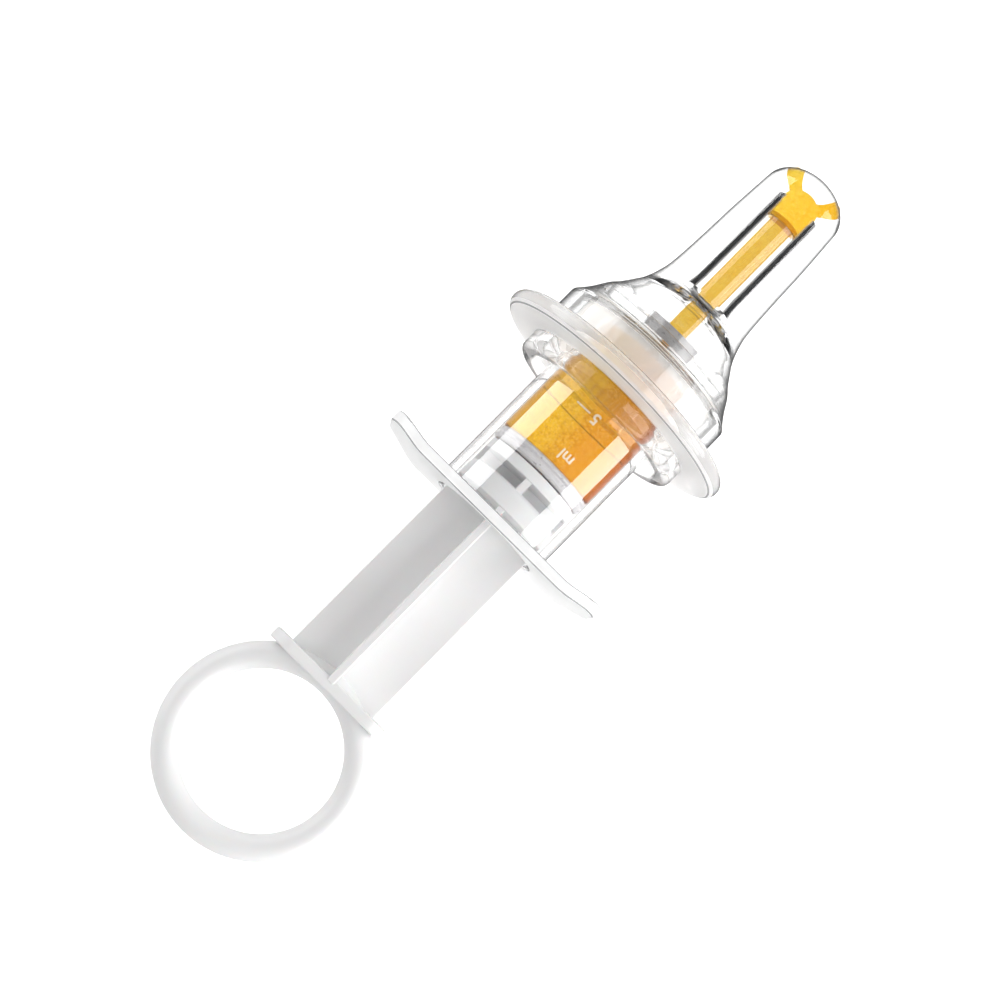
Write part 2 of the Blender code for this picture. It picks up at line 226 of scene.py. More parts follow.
# Light. Radiances are in multiples of white, and the sky's heights are sines of elevation.
FLOOR_RADIUS = 1.6
FLOOR_NEAR = (0.8, 0.8, 0.8)
FLOOR_FAR = (0.35, 0.35, 0.35)
FLOOR_GLOW = 0.75
FLOOR_LIT = 0.12
FLOOR_DIM = 0.24
SOFTBOX_REACH = 0.40
SOFTBOX_LENGTH = 0.6
AXIS_HEIGHT = 0.025
STRIP_LOW = 0.004
STRIP_HIGH = 0.30
LEFT_STRIP = 6.8
RIGHT_STRIP = 8.2
LEFT_FILL = 1.7
RIGHT_FILL = 2.7
FILL_LIFT = 0.05
KEY = 2.5
KEY_WIDTH = 0.3
KEY_LIFT = 0.40
BOUNCES = 32
SKY = [(0.0, 0.2), (0.02, 0.5), (0.24, 0.5), (0.30, 0.2), (0.60, 0.2), (0.80, 0.5)]


# ---------------------------------------------------------------- shaping


def filleted(corners, closed=True, segments=5):
    """Outline with its corners rounded. Corners are (radius, station, fillet)."""
    points = []
    count = len(corners)
    for index, (radius, station, fillet) in enumerate(corners):
        here = Vector((radius, station))
        if not fillet or (not closed and index in (0, count - 1)):
            points.append((radius, station))
            continue
        before = Vector(corners[index - 1][:2]) - here
        after = Vector(corners[(index + 1) % count][:2]) - here
        half = before.angle(after) / 2
        reach = min(fillet / math.tan(half), 0.49 * before.length, 0.49 * after.length)
        size = reach * math.tan(half)
        towards = (before.normalized() + after.normalized()).normalized()
        centre = here + towards * size / math.sin(half)
        start = here + before.normalized() * reach - centre
        stop = here + after.normalized() * reach - centre
        first = math.atan2(start.y, start.x)
        sweep = math.remainder(math.atan2(stop.y, stop.x) - first, math.tau)
        for step in range(segments + 1):
            angle = first + sweep * step / segments
            points.append((centre.x + size * math.cos(angle), centre.y + size * math.sin(angle)))
    return points


def smooth_through(points, per_span):
    """Catmull-Rom curve through (radius, station) points."""
    ends = [points[0], *points, points[-1]]
    curve = []
    for index in range(len(points) - 1):
        a, b, c, d = (Vector(point) for point in ends[index : index + 4])
        for step in range(per_span):
            t = step / per_span
            place = (
                2 * b
                + (c - a) * t
                + (2 * a - 5 * b + 4 * c - d) * t * t
                + (3 * b - a - 3 * c + d) * t**3
            ) / 2
            curve.append(tuple(place))
    curve.append(points[-1])
    return curve


def mesh_from_rings(name, rings, closed):
    """Mesh through rings of equally many points, closed on itself or capped at its two ends."""
    shape = bmesh.new()
    rows = [[shape.verts.new(point) for point in ring] for ring in rings]
    size = len(rows[0])
    pairs = list(zip(rows, rows[1:]))
    if closed:
        pairs.append((rows[-1], rows[0]))
    for upper, lower in pairs:
        for index in range(size):
            after = (index + 1) % size
            shape.faces.new((upper[index], upper[after], lower[after], lower[index]))
    if not closed:
        for row in (rows[0], rows[-1]):
            centre = sum((vertex.co for vertex in row), Vector()) / size
            pole = shape.verts.new(centre)
            for index in range(size):
                shape.faces.new((row[index], row[(index + 1) % size], pole))
    bmesh.ops.recalc_face_normals(shape, faces=shape.faces)
    mesh = bpy.data.meshes.new(name)
    shape.to_mesh(mesh)
    shape.free()
    mesh.shade_smooth()
    mesh.set_sharp_from_angle(angle=math.radians(40))
    return mesh


def turned(name, outline, steps=TURNS, closed=True):
    """Solid of revolution. An open outline starts and ends near the axis, and is capped there."""
    rings = []
    for radius, station in outline:
        ring = []
        for step in range(steps):
            angle = math.tau * step / steps
            ring.append((radius * math.cos(angle), radius * math.sin(angle), station))
        rings.append(ring)
    return mesh_from_rings(name, rings, closed)


def show(name, mesh, body, material, node=None):
    """Adds a piece in the dropper's frame, riding on a CAD body."""
    thing = bpy.data.objects.new(name, mesh)
    bpy.context.scene.collection.objects.link(thing)
    thing.matrix_world = PLACE
    mesh.materials.clear()
    mesh.materials.append(material)
    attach(thing, body)
    if node:
        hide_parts(node)
    return thing


def extra_look(thing, material, belongs):
    """Gives the faces that pass the test another material of the same piece."""
    thing.data.materials.append(material)
    index = len(thing.data.materials) - 1
    for face in thing.data.polygons:
        if belongs(face):
            face.material_index = index


def combined(name, first, others, operation):
    """Mesh of a Boolean of meshes that share the dropper's frame."""
    base = bpy.data.objects.new(name, first)
    bpy.context.scene.collection.objects.link(base)
    tools = []
    for index, mesh in enumerate(others):
        tool = bpy.data.objects.new(f"{name}_tool_{index}", mesh)
        bpy.context.scene.collection.objects.link(tool)
        modifier = base.modifiers.new(tool.name, "BOOLEAN")
        modifier.operation = operation
        modifier.object = tool
        tools.append(tool)
    bpy.context.view_layer.update()
    evaluated = base.evaluated_get(bpy.context.evaluated_depsgraph_get())
    result = bpy.data.meshes.new_from_object(evaluated)
    for thing in [base, *tools]:
        bpy.data.objects.remove(thing, do_unlink=True)
    result.name = name
    result.shade_smooth()
    result.set_sharp_from_angle(angle=math.radians(35))
    return result


def even_normals(thing):
    """Keeps the shading of flat faces flat beside their rounded edges."""
    thing.modifiers.new("even_normals", "WEIGHTED_NORMAL").keep_sharp = True


def prism(name, outline, bottom, top, edge):
    """Straight solid from a flat outline of (x, y), with a bevelled edge."""
    shape = bmesh.new()
    face = shape.faces.new([shape.verts.new((x, y, bottom)) for x, y in outline])
    raised = bmesh.ops.extrude_face_region(shape, geom=[face])["geom"]
    moved = [part for part in raised if isinstance(part, bmesh.types.BMVert)]
    bmesh.ops.translate(shape, verts=moved, vec=(0, 0, top - bottom))
    bmesh.ops.recalc_face_normals(shape, faces=shape.faces)
    corners = [part for part in shape.edges if part.calc_face_angle() > math.radians(40)]
    bmesh.ops.bevel(
        shape, geom=corners, offset=edge, segments=3, profile=0.5, affect="EDGES", clamp_overlap=True
    )
    mesh = bpy.data.meshes.new(name)
    shape.to_mesh(mesh)
    shape.free()
    return mesh


# ---------------------------------------------------------------- materials


class Look:
    """A material with a Principled shader, and short calls to wire detail into it."""

    def __init__(self, name, colour, roughness, **sockets):
        self.material = bpy.data.materials.new(name)
        self.material.use_nodes = True
        self.nodes = self.material.node_tree.nodes
        self.links = self.material.node_tree.links
        self.shader = self.nodes["Principled BSDF"]
        self.shader.inputs["Base Color"].default_value = (*colour, 1.0)
        self.shader.inputs["Roughness"].default_value = roughness
        for socket, value in sockets.items():
            self.shader.inputs[socket.replace("_", " ")].default_value = value
        self.place = self.nodes.new("ShaderNodeTexCoord").outputs["Object"]

    def noise(self, size, detail=3.0, stretch=(1, 1, 1)):
        """Noise whose blobs are about size metres across."""
        mapping = self.nodes.new("ShaderNodeMapping")
        mapping.inputs["Scale"].default_value = stretch
        texture = self.nodes.new("ShaderNodeTexNoise")
        texture.inputs["Scale"].default_value = 1 / size
        texture.inputs["Detail"].default_value = detail
        self.links.new(self.place, mapping.inputs["Vector"])
        self.links.new(mapping.outputs["Vector"], texture.inputs["Vector"])
        return texture.outputs["Fac"]

    def ramp(self, value, low, high):
        """The value, which runs from 0 to 1, brought to run from low to high."""
        node = self.nodes.new("ShaderNodeMapRange")
        node.inputs["To Min"].default_value = low
        node.inputs["To Max"].default_value = high
        self.links.new(value, node.inputs["Value"])
        return node.outputs["Result"]

    def between(self, value, start, stop):
        """0 where the value is below start, 1 above stop, smooth between."""
        node = self.nodes.new("ShaderNodeMapRange")
        node.interpolation_type = "SMOOTHSTEP"
        node.inputs["From Min"].default_value = start
        node.inputs["From Max"].default_value = stop
        self.links.new(value, node.inputs["Value"])
        return node.outputs["Result"]

    def math(self, operation, first, second):
        node = self.nodes.new("ShaderNodeMath")
        node.operation = operation
        for socket, value in zip(node.inputs, (first, second)):
            if isinstance(value, (int, float)):
                socket.default_value = value
            else:
                self.links.new(value, socket)
        return node.outputs["Value"]

    def coordinates(self):
        """X, Y and Z of the dropper's frame."""
        node = self.nodes.new("ShaderNodeSeparateXYZ")
        self.links.new(self.place, node.inputs["Vector"])
        return node.outputs["X"], node.outputs["Y"], node.outputs["Z"]

    def radius(self):
        x, y, _ = self.coordinates()
        total = self.math("ADD", self.math("MULTIPLY", x, x), self.math("MULTIPLY", y, y))
        return self.math("SQRT", total, 0.0)

    def mix(self, factor, first, second):
        node = self.nodes.new("ShaderNodeMix")
        node.data_type = "RGBA"
        self.links.new(factor, node.inputs["Factor"])
        for socket, colour in ((node.inputs["A"], first), (node.inputs["B"], second)):
            if isinstance(colour, tuple):
                socket.default_value = (*colour, 1.0)
            else:
                self.links.new(colour, socket)
        return node.outputs["Result"]

    def wire(self, value, socket):
        self.links.new(value, self.shader.inputs[socket])

    def edge(self, outline):
        """0 over most of a clear surface, rising to 1 at its outline, where light has the longest way. It
        masks the painted dark outlines.
        """
        node = self.nodes.new("ShaderNodeLayerWeight")
        node.inputs["Blend"].default_value = 0.5
        return self.between(node.outputs["Facing"], *outline)

    def bump(self, height, distance, strength=1.0):
        node = self.nodes.new("ShaderNodeBump")
        node.inputs["Distance"].default_value = distance
        node.inputs["Strength"].default_value = strength
        self.links.new(height, node.inputs["Height"])
        self.links.new(node.outputs["Normal"], self.shader.inputs["Normal"])


def paint_outline_shade(look, where, depth):
    """Paints shade where the mask is 1: a dark colour, and light held back by depth."""
    look.wire(look.mix(where, CLEAR_TINT, PAINTED_OUTLINE_SHADE), "Base Color")
    look.wire(look.ramp(where, 1.0, 1.0 - depth), "Transmission Weight")


def clear_look(name, roughness, ior, gloss, depth, ripple, outline=OUTLINE):
    """Clear moulding under a gloss skin. Its outlines are painted shade, holding back light by depth at
    the most.
    """
    look = Look(
        name,
        CLEAR_TINT,
        roughness,
        Transmission_Weight=1.0,
        IOR=ior,
        Coat_Weight=gloss,
        Coat_IOR=GLOSS_IOR,
        Coat_Roughness=GLOSS_ROUGHNESS,
    )
    # painted shade: the outline, found by facing, is painted dark
    paint_outline_shade(look, look.edge(outline), depth)
    handled = look.noise(6 * MM, 4.0)
    look.wire(look.ramp(handled, roughness * 0.4, roughness * 1.6), "Roughness")
    look.bump(look.noise(9 * MM, 2.0, (1, 1, 0.35)), ripple)
    return look


def barrel_look():
    """Clear and polished, with a sanded head whose fine grain scatters the light. The head glows with
    painted light, and the polished parts get painted dark outlines.
    """
    look = clear_look("clear_barrel", 0.02, 1.12, 1.0, 0.4, 0.012 * MM)
    _, _, station = look.coordinates()
    above = look.between(station, SHOULDER_END - 0.5 * MM, SHOULDER_END + 0.5 * MM)
    outside = look.between(look.radius(), HEAD_RADIUS - 0.8 * MM, HEAD_RADIUS - 0.3 * MM)
    sanded = look.math("MULTIPLY", above, outside)
    grain = look.ramp(look.noise(0.35 * MM, 2.0), 0.35, 0.6)
    smooth = look.ramp(look.noise(6 * MM, 4.0), 0.0, 0.04)
    # painted shade: dark outlines by facing, left off the sanded head
    edge = look.math("SUBTRACT", look.edge(OUTLINE), sanded)
    look.wire(look.mix(edge, CLEAR_TINT, PAINTED_OUTLINE_SHADE), "Base Color")
    look.wire(look.math("MAXIMUM", look.math("MULTIPLY", sanded, grain), smooth), "Roughness")
    look.wire(look.ramp(sanded, 1.0, 0.45), "Transmission Weight")
    # painted light: a warm glow from emission on the sanded head, which is no lamp
    look.shader.inputs["Emission Color"].default_value = HEAD_PAINTED_GLOW_TINT
    look.wire(look.ramp(sanded, 0.0, HEAD_PAINTED_GLOW), "Emission Strength")
    return look.material


def barrel_bore_look():
    """Inner wall of the barrel, without the outside's gloss."""
    return clear_look("barrel_bore", 0.02, 1.12, 0.0, 0.4, 0.012 * MM).material


def milky_look(name, clearness, painted_glow):
    """Clear plastic where the mould was left dull: milky and soft, with a faint painted glow from
    emission.
    """
    # painted light: the emission makes the dull plastic glow though it is no lamp
    look = Look(
        name,
        (0.97, 0.97, 0.97),
        0.4,
        Transmission_Weight=clearness,
        IOR=1.3,
        Emission_Color=WHITE,
        Emission_Strength=painted_glow,
    )
    cloud = look.noise(5 * MM, 3.0)
    look.wire(look.mix(cloud, (0.94, 0.94, 0.94), (0.99, 0.99, 0.99)), "Base Color")
    look.wire(look.ramp(cloud, 0.35, 0.5), "Roughness")
    return look.material


def painted_rim_shade_look():
    """Rounded edge of a clear moulding, which bends the light away; its grey is painted shade."""
    look = Look("painted_rim_shade", (0.45, 0.45, 0.46), 0.2, Transmission_Weight=0.3, IOR=1.3)
    look.wire(look.ramp(look.noise(1.5 * MM), 0.1, 0.3), "Roughness")
    return look.material


def shield_look():
    return clear_look("clear_shield", 0.03, 1.12, 0.1, 0.35, 0.008 * MM).material


def silicone_look():
    ripple = 0.008 * MM
    return clear_look("clear_silicone", 0.025, 1.22, 0.25, 0.65, ripple, SILICONE_OUTLINE).material


def bore_look():
    """Wall of the teat's bore, with a soft grey outline of painted shade, set by facing, where the
    silicone beside it is thickest.
    """
    look = Look("bore_wall", CLEAR_TINT, 0.05, Transmission_Weight=1.0, IOR=1.05)
    # painted shade: a grey outline by facing
    paint_outline_shade(look, look.edge(BORE_OUTLINE), 0.6)
    look.wire(look.ramp(look.noise(2 * MM), 0.02, 0.08), "Roughness")
    return look.material


def wet_look():
    """Wall of a bore full of liquid, where the light passes from one to the other almost unbent."""
    look = Look("wet_wall", CLEAR_TINT, 0.01, Transmission_Weight=1.0, IOR=1.01)
    look.wire(look.ramp(look.noise(2 * MM), 0.0, 0.02), "Roughness")
    return look.material


def nozzle_look():
    return clear_look("clear_nozzle", 0.02, 1.4, 1.0, 0.8, 0.005 * MM).material


def pale_silicone_look():
    look = Look("pale_silicone", (0.9, 0.89, 0.9), 0.3, Transmission_Weight=0.3, IOR=1.3)
    speck = look.noise(0.8 * MM, 4.0)
    look.wire(look.mix(speck, (0.86, 0.85, 0.87), (0.95, 0.94, 0.95)), "Base Color")
    look.wire(look.ramp(speck, 0.2, 0.4), "Roughness")
    look.bump(look.noise(0.3 * MM), 0.01 * MM)
    return look.material


def white_plastic_look():
    look = Look(
        "white_plastic",
        (0.82, 0.82, 0.82),
        0.4,
        IOR=1.3,
        Subsurface_Weight=0.1,
        Subsurface_Scale=1.0 * MM,
    )
    cloud = look.noise(14 * MM, 3.0, (1, 1, 0.4))
    look.wire(look.mix(cloud, (0.80, 0.80, 0.80), (0.84, 0.84, 0.84)), "Base Color")
    look.wire(look.ramp(look.noise(2.5 * MM, 5.0), 0.35, 0.5), "Roughness")
    look.bump(look.noise(0.25 * MM, 3.0), 0.008 * MM)
    return look.material


def liquid_look(name, left, right, left_rim_shade, right_rim_shade_and_speck):
    """Amber syrup with fine suspended specks. Its shift from yellow on one side to deeper orange on the
    other, and its darker rims, are painted shade.
    """
    look = Look(name, left, 0.02, Transmission_Weight=0.75, IOR=1.06)
    x, _, _ = look.coordinates()
    swirl = look.noise(4 * MM, 5.0, (1, 1, 0.5))
    drift = look.math("ADD", x, look.ramp(swirl, -2.5 * MM, 2.5 * MM))
    # painted shade: yellow on one side, deeper orange on the other
    colour = look.mix(look.between(drift, -3.5 * MM, 5 * MM), right, left)
    speck = look.between(look.noise(0.45 * MM, 4.0), 0.5, 0.62)
    deep = look.between(look.noise(0.7 * MM, 4.0), 0.52, 0.62)
    colour = look.mix(look.math("MULTIPLY", deep, 0.35), colour, right_rim_shade_and_speck)
    colour = look.mix(look.math("MULTIPLY", speck, 0.4), colour, SPECK_COLOUR)
    # painted shade: the liquid darkens towards both of its sides
    colour = look.mix(look.between(x, RIM_SHADE_STARTS, RIM_SHADE_FULL), colour, left_rim_shade)
    colour = look.mix(look.between(x, -RIM_SHADE_STARTS, -RIM_SHADE_FULL), colour, right_rim_shade_and_speck)
    look.wire(colour, "Base Color")
    look.wire(look.ramp(swirl, 0.0, 0.05), "Roughness")
    look.bump(swirl, 0.03 * MM)
    return look.material


def mark_look():
    look = Look("raised_mark", (0.99, 0.96, 0.88), 0.2, Transmission_Weight=0.6, IOR=1.49)
    look.wire(look.ramp(look.noise(0.3 * MM), 0.12, 0.3), "Roughness")
    return look.material


# ---------------------------------------------------------------- barrel


def rounded_reach(angle, half_x, half_y, corner):
    """Distance from the centre of a rounded rectangle to its outline, in a direction."""
    across = abs(math.cos(angle))
    deep = abs(math.sin(angle))
    reach = min(half_x / max(across, 1e-9), half_y / max(deep, 1e-9))
    centre = Vector((half_x - corner, half_y - corner))
    if reach * across > centre.x and reach * deep > centre.y:
        along = across * centre.x + deep * centre.y
        reach = along + math.sqrt(along * along - centre.length_squared + corner * corner)
    return reach


def wing_lift(x):
    share = (abs(x) - WING_CURL_START) / (WING_REACH - WING_CURL_START)
    share = min(max(share, 0.0), 1.0)
    return WING_CURL * share * share * (3 - 2 * share)


def flange_ring(share, start_radius, inset, station):
    """Ring on the flange, from a circle at share 0 to the inset outline of the wings at share 1."""
    ring = []
    for step in range(TURNS):
        angle = math.tau * step / TURNS
        reach = rounded_reach(
            angle, WING_REACH - inset, WING_HALF_DEPTH - inset, WING_CORNER - inset
        )
        radius = start_radius + (reach - start_radius) * share
        x = radius * math.cos(angle)
        ring.append((x, radius * math.sin(angle), station + wing_lift(x)))
    return ring


def circle_ring(radius, station):
    return [
        (
            radius * math.cos(math.tau * step / TURNS),
            radius * math.sin(math.tau * step / TURNS),
            station,
        )
        for step in range(TURNS)
    ]


def flange_rings():
    shares = [0.15, 0.3, 0.45, 0.6, 0.75, 0.9, 1.0]
    root = BARREL_RADIUS + WING_EDGE
    rings = [flange_ring(share, root, WING_EDGE, WING_THICKNESS) for share in shares]
    for end, start, stop in ((WING_THICKNESS - WING_EDGE, 90, 0), (WING_EDGE, 0, -90)):
        for step in range(1, 5):
            angle = math.radians(start + (stop - start) * step / 4)
            inset = WING_EDGE * (1 - math.cos(angle))
            rings.append(flange_ring(1.0, root, inset, end + WING_EDGE * math.sin(angle)))
    mouth = LEAD_IN_RADIUS + 0.1 * MM
    rings += [flange_ring(share, mouth, WING_EDGE, 0.0) for share in reversed(shares[:-1])]
    return rings


def make_barrel():
    outside = filleted(
        [
            (SPIGOT_BORE, SPIGOT_TOP, 0.1 * MM),
            (SPIGOT_RADIUS, SPIGOT_TOP, 0.15 * MM),
            (SPIGOT_RADIUS, HEAD_TOP, 0.15 * MM),
            (HEAD_RADIUS, HEAD_TOP, 0.35 * MM),
            (HEAD_RADIUS, SHOULDER_END, 0.3 * MM),
            (BARREL_RADIUS, SHOULDER_START, 0.3 * MM),
            (BARREL_RADIUS, WING_THICKNESS, WING_EDGE),
            (BARREL_RADIUS + 2 * WING_EDGE, WING_THICKNESS, 0),
        ],
        closed=False,
    )
    bore = filleted(
        [
            (LEAD_IN_RADIUS + 0.1 * MM, 0.0, 0),
            (LEAD_IN_RADIUS, 0.0, 0.1 * MM),
            (LEAD_IN_RADIUS, LEAD_IN_DEPTH, 0.08 * MM),
            (BORE_RADIUS, LEAD_IN_DEPTH, 0.1 * MM),
            (BORE_RADIUS, BORE_TOP, 0.4 * MM),
            (SPIGOT_BORE, BORE_TOP, 0.1 * MM),
            (SPIGOT_BORE, SPIGOT_TOP - 0.2 * MM, 0),
        ],
        closed=False,
    )
    rings = [circle_ring(*point) for point in outside[:-1]]
    rings += flange_rings()
    rings += [circle_ring(*point) for point in bore]
    mesh = mesh_from_rings("barrel_shell", rings, True)
    shell = show("barrel_shell", mesh, "barrel", barrel_look(), "barrel")
    extra_look(shell, barrel_bore_look(), in_barrel_bore)
    # painted light: the flat wings of the flange get a faint glow from emission
    extra_look(shell, milky_look("milky_flange", 0.2, FLANGE_PAINTED_GLOW), on_flange)
    # painted shade: the flange's rounded edges are coloured grey
    extra_look(shell, painted_rim_shade_look(), on_flange_rim)
    even_normals(shell)


def in_barrel_bore(face):
    return math.hypot(face.center.x, face.center.y) < LEAD_IN_RADIUS + 0.2 * MM


def on_flange(face):
    radius = math.hypot(face.center.x, face.center.y)
    low = face.center.z < WING_THICKNESS + WING_CURL + MM
    return low and radius > BARREL_RADIUS + WING_EDGE or face.center.z < 0.01 * MM


def on_flange_rim(face):
    """The rounded edges of the flange, between its flat faces and its side."""
    return on_flange(face) and 0.2 < abs(face.normal.z) < 0.97


# ---------------------------------------------------------------- plunger


def plus_outline(half_x, half_y, rib):
    half = rib / 2
    quarter = [(half_x, half), (half, half), (half, half_y)]
    points = list(quarter)
    points += [(-x, y) for x, y in reversed(quarter)]
    points += [(-x, -y) for x, y in quarter]
    points += [(x, -y) for x, y in reversed(quarter)]
    return points


def rounded_outline(half_x, half_y, corner, count=14):
    points = []
    for quarter, (side_x, side_y) in enumerate(((1, 1), (-1, 1), (-1, -1), (1, -1))):
        for step in range(count + 1):
            angle = math.radians(90 * quarter + 90 * step / count)
            x = side_x * (half_x - corner) + corner * math.cos(angle)
            y = side_y * (half_y - corner) + corner * math.sin(angle)
            points.append((x, y))
    return points


def finger_ring_mesh():
    tube = (RING_OUTER - RING_INNER) / 2
    rings = []
    for step in range(TURNS):
        angle = math.tau * step / TURNS
        ring = []
        for side in range(48):
            turn = math.tau * side / 48
            reach = RING_INNER + tube + tube * math.cos(turn)
            depth = RING_HALF_DEPTH * math.sin(turn)
            ring.append((reach * math.cos(angle), depth, RING_CENTRE + reach * math.sin(angle)))
        rings.append(ring)
    return mesh_from_rings("finger_ring", rings, True)


def back_disc_outline():
    bottom, top = BACK_DISC
    return filleted(
        [
            (0.1 * MM, top, 0),
            (BACK_DISC_RADIUS, top, 1.4 * MM),
            (BACK_DISC_RADIUS, bottom, 0.2 * MM),
            (0.1 * MM, bottom, 0),
        ],
        closed=False,
    )


def front_disc_outline():
    bottom, top = FRONT_DISC
    return filleted(
        [
            (0.1 * MM, SEAL_SPIGOT_TOP, 0),
            (SEAL_SPIGOT_RADIUS, SEAL_SPIGOT_TOP, 0.3 * MM),
            (SEAL_SPIGOT_RADIUS, top, 0.1 * MM),
            (FRONT_DISC_RADIUS, top, 0.2 * MM),
            (FRONT_DISC_RADIUS, bottom, 0.2 * MM),
            (0.1 * MM, bottom, 0),
        ],
        closed=False,
    )


def make_plunger():
    overlap = RIB_THICKNESS / 2
    plate_top = PLATE_BACK + PLATE_THICKNESS
    rod = prism(
        "rod",
        plus_outline(ROD_HALF_WIDTH, ROD_HALF_DEPTH, RIB_THICKNESS),
        plate_top - overlap,
        FRONT_DISC[0] + overlap,
        0.2 * MM,
    )
    plate = prism(
        "end_plate",
        rounded_outline(PLATE_HALF_WIDTH, PLATE_HALF_DEPTH, PLATE_CORNER),
        PLATE_BACK,
        plate_top,
        0.35 * MM,
    )
    others = [
        plate,
        finger_ring_mesh(),
        turned("back_disc", back_disc_outline(), closed=False),
        turned("front_disc", front_disc_outline(), closed=False),
    ]
    mesh = combined("plunger_moulding", rod, others, "UNION")
    look = white_plastic_look()
    even_normals(show("plunger_moulding", mesh, "plunger", look, "plunger"))


def make_piston_seal(look):
    pocket, pocket_top = SEAL_POCKET
    middle = (SEAL_BACK + SEAL_TOP) / 2
    lip = 0.75 * MM
    outline = filleted(
        [
            (0.1 * MM, SEAL_TOP, 0),
            (SEAL_WAIST, SEAL_TOP, 0.2 * MM),
            (SEAL_RADIUS, SEAL_TOP - lip / 2, 0.2 * MM),
            (SEAL_RADIUS, SEAL_TOP - lip, 0.2 * MM),
            (SEAL_WAIST, middle, 0.3 * MM),
            (SEAL_RADIUS, SEAL_BACK + lip, 0.2 * MM),
            (SEAL_RADIUS, SEAL_BACK + lip / 2, 0.2 * MM),
            (SEAL_WAIST, SEAL_BACK, 0.2 * MM),
            (pocket, SEAL_BACK, 0.1 * MM),
            (pocket, pocket_top, 0.1 * MM),
            (0.1 * MM, pocket_top, 0),
        ],
        closed=False,
    )
    mesh = turned("piston_cap", outline, closed=False)
    even_normals(show("piston_cap", mesh, "seal", look, "piston_seal"))


# ---------------------------------------------------------------- shield and nipple


def make_mouth_shield():
    edge = (SHIELD_FRONT - SHIELD_BACK) / 2
    outline = filleted(
        [
            (HUB_BORE, HUB_FRONT, 0.2 * MM),
            (HUB_FRONT_RADIUS, HUB_FRONT, 0.2 * MM),
            (HUB_FRONT_RADIUS, SHIELD_FRONT, 0.15 * MM),
            (SHIELD_RADIUS, SHIELD_FRONT, edge * 0.98),
            (SHIELD_RADIUS, SHIELD_BACK, edge * 0.98),
            (HUB_RADIUS, SHIELD_BACK, 0.4 * MM),
            (HUB_RADIUS, HUB_BACK, 1.1 * MM),
            (HUB_BORE, HUB_BACK, 0.3 * MM),
        ],
        segments=8,
    )
    mesh = turned("shield_disc", outline)
    disc = show("shield_disc", mesh, "cap", shield_look(), "mouth_shield")
    # painted light: the disc's flat faces get a faint glow from emission
    extra_look(disc, milky_look("milky_shield", 0.6, SHIELD_PAINTED_GLOW), on_shield_face)
    # painted shade: a thin grey ring on each side of the shield's rounded rim
    extra_look(disc, painted_rim_shade_look(), on_shield_rim)
    even_normals(disc)


def on_shield_face(face):
    """The disc's two flat faces, outside the hub."""
    radius = math.hypot(face.center.x, face.center.y)
    return radius > HUB_RADIUS and abs(face.normal.z) > 0.6


def on_shield_rim(face):
    """A thin ring on each side of the disc's rounded rim."""
    radius = math.hypot(face.center.x, face.center.y)
    return radius > SHIELD_RADIUS - RIM_NARROW and 0.85 < abs(face.normal.z) < 0.92


def dome_outline(count):
    height = TEAT_TIP - DOME_START
    points = []
    for step in range(count):
        angle = math.radians(89.0 - 89.0 * step / count)
        points.append((DOME_RADIUS * math.cos(angle), DOME_START + height * math.sin(angle)))
    return points


def nipple_outline():
    side = smooth_through([(DOME_RADIUS, DOME_START), *reversed(BELL_OUTLINE)], 6)
    skirt = filleted(
        [
            (BELL_OUTLINE[0][0], BELL_OUTLINE[0][1], 0),
            (SKIRT_RADIUS, SKIRT_TOP, 0.5 * MM),
            (SKIRT_RADIUS, SKIRT_BACK, 0.2 * MM),
            (SKIRT_BORE, SKIRT_BACK, 0.2 * MM),
            (SKIRT_BORE, SKIRT_LEDGE, 0.1 * MM),
            (HUB_BORE, SKIRT_LEDGE, 0.1 * MM),
            (HUB_BORE, HEAD_LEDGE, 0.1 * MM),
            (FLANGE_SEAT, HEAD_LEDGE, 0.1 * MM),
            (BELL_OUTLINE[2][0] - BELL_WALL, BELL_OUTLINE[2][1] - BELL_WALL / 3, 0),
        ],
        closed=False,
    )
    inside = [(r - BELL_WALL, z - BELL_WALL / 3) for r, z in BELL_OUTLINE[2:6]]
    inside = smooth_through([*inside, (6.8 * MM, 50.3 * MM), (4.6 * MM, 51.4 * MM)], 5)
    mouth = smooth_through([(4.6 * MM, 51.4 * MM), (3.75 * MM, 52.6 * MM), (TEAT_BORE, 56 * MM)], 5)
    end = []
    for step in range(9):
        angle = math.radians(88.0 * step / 8)
        end.append(
            (
                TEAT_BORE * math.cos(angle),
                TEAT_BORE_END - TEAT_BORE + TEAT_BORE * math.sin(angle),
            )
        )
    return dome_outline(14) + side + skirt[1:] + inside[1:] + mouth[1:] + end


def channel_mesh(side, radius, start, length):
    """Slanted round bar from the teat's axis out through its shoulder."""
    bar = turned(
        "channel",
        [(radius, start + length), (radius, start)],
        steps=32,
        closed=False,
    )
    bar.transform(Matrix.Rotation(side * CHANNEL_ANGLE, 4, "Y"))
    bar.transform(Matrix.Translation((0, 0, CHANNEL_ROOT)))
    return bar


def make_nipple():
    solid = turned("nipple_solid", nipple_outline(), closed=False)
    channels = [channel_mesh(side, CHANNEL_RADIUS, 0.0, CHANNEL_LENGTH) for side in (-1, 1)]
    mesh = combined("nipple_skin", solid, channels, "DIFFERENCE")
    skin = show("nipple_skin", mesh, "cap", silicone_look(), "nipple")
    extra_look(skin, bore_look(), in_teat_bore)
    extra_look(skin, wet_look(), touches_liquid)
    even_normals(skin)


def in_teat_bore(face):
    inside = math.hypot(face.center.x, face.center.y) < TEAT_BORE + 0.22 * MM
    return inside and TEAT_MOUTH < face.center.z < TEAT_BORE_END - TEAT_BORE


